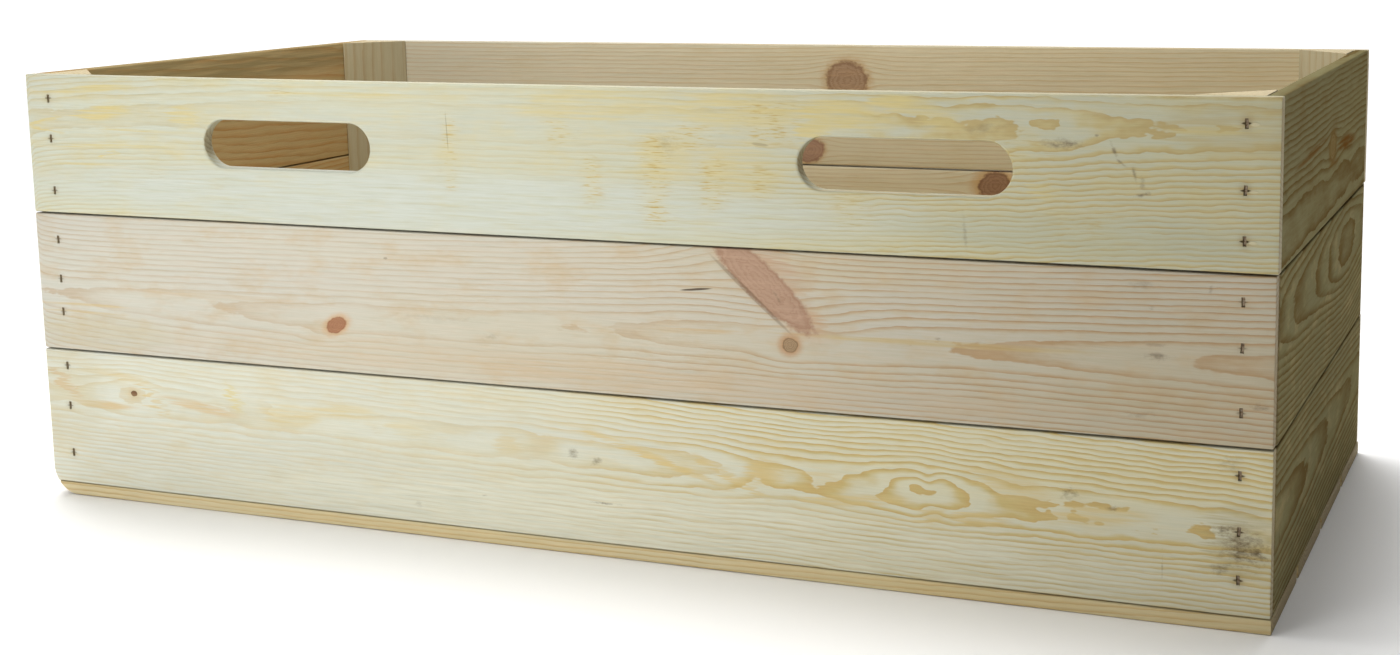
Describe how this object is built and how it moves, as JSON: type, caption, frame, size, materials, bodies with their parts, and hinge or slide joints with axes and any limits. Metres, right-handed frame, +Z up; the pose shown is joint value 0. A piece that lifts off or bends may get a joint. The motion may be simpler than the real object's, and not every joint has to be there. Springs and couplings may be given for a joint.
{
  "type": "wooden toy box",
  "caption": "Open rectangular pine crate for storing toys, with nailed plank walls on corner posts, a plank floor, and hand holes in the front wall.",
  "frame": {"origin": "on the ground under the middle of the floor", "axes": "+X along the length, +Z up, the wall with the hand holes faces -Y"},
  "size_m": [0.8, 0.38, 0.2795],
  "materials": {
    "front_top_pine": "rough sawn, untreated",
    "front_middle_pine": "planed, untreated",
    "front_bottom_pine": "rough sawn, untreated",
    "back_pine": "planed, untreated",
    "end_pine": "rough sawn, untreated",
    "floor_pine": "rough sawn, untreated",
    "post_pine": "sawn, untreated",
    "brad_steel": "dull, slightly rusty"
  },
  "bodies": {
    "root": {"front_plank_bottom": "front_bottom_pine", "front_plank_middle": "front_middle_pine", "front_plank_top": "front_top_pine", "back_plank_bottom": "back_pine", "back_plank_middle": "back_pine", "back_plank_top": "back_pine", "left_end_plank_bottom": "end_pine", "left_end_plank_middle": "end_pine", "left_end_plank_top": "end_pine", "right_end_plank_bottom": "end_pine", "right_end_plank_middle": "end_pine", "right_end_plank_top": "end_pine", "floor_plank_front": "floor_pine", "floor_plank_front_middle": "floor_pine", "floor_plank_back_middle": "floor_pine", "floor_plank_back": "floor_pine", "corner_post_front_left": "post_pine", "corner_post_front_right": "post_pine", "corner_post_back_left": "post_pine", "corner_post_back_right": "post_pine", "front_wall_brads": "brad_steel", "back_wall_brads": "brad_steel", "left_end_brads": "brad_steel", "right_end_brads": "brad_steel", "floor_brads": "brad_steel"}
  },
  "joints": []
}
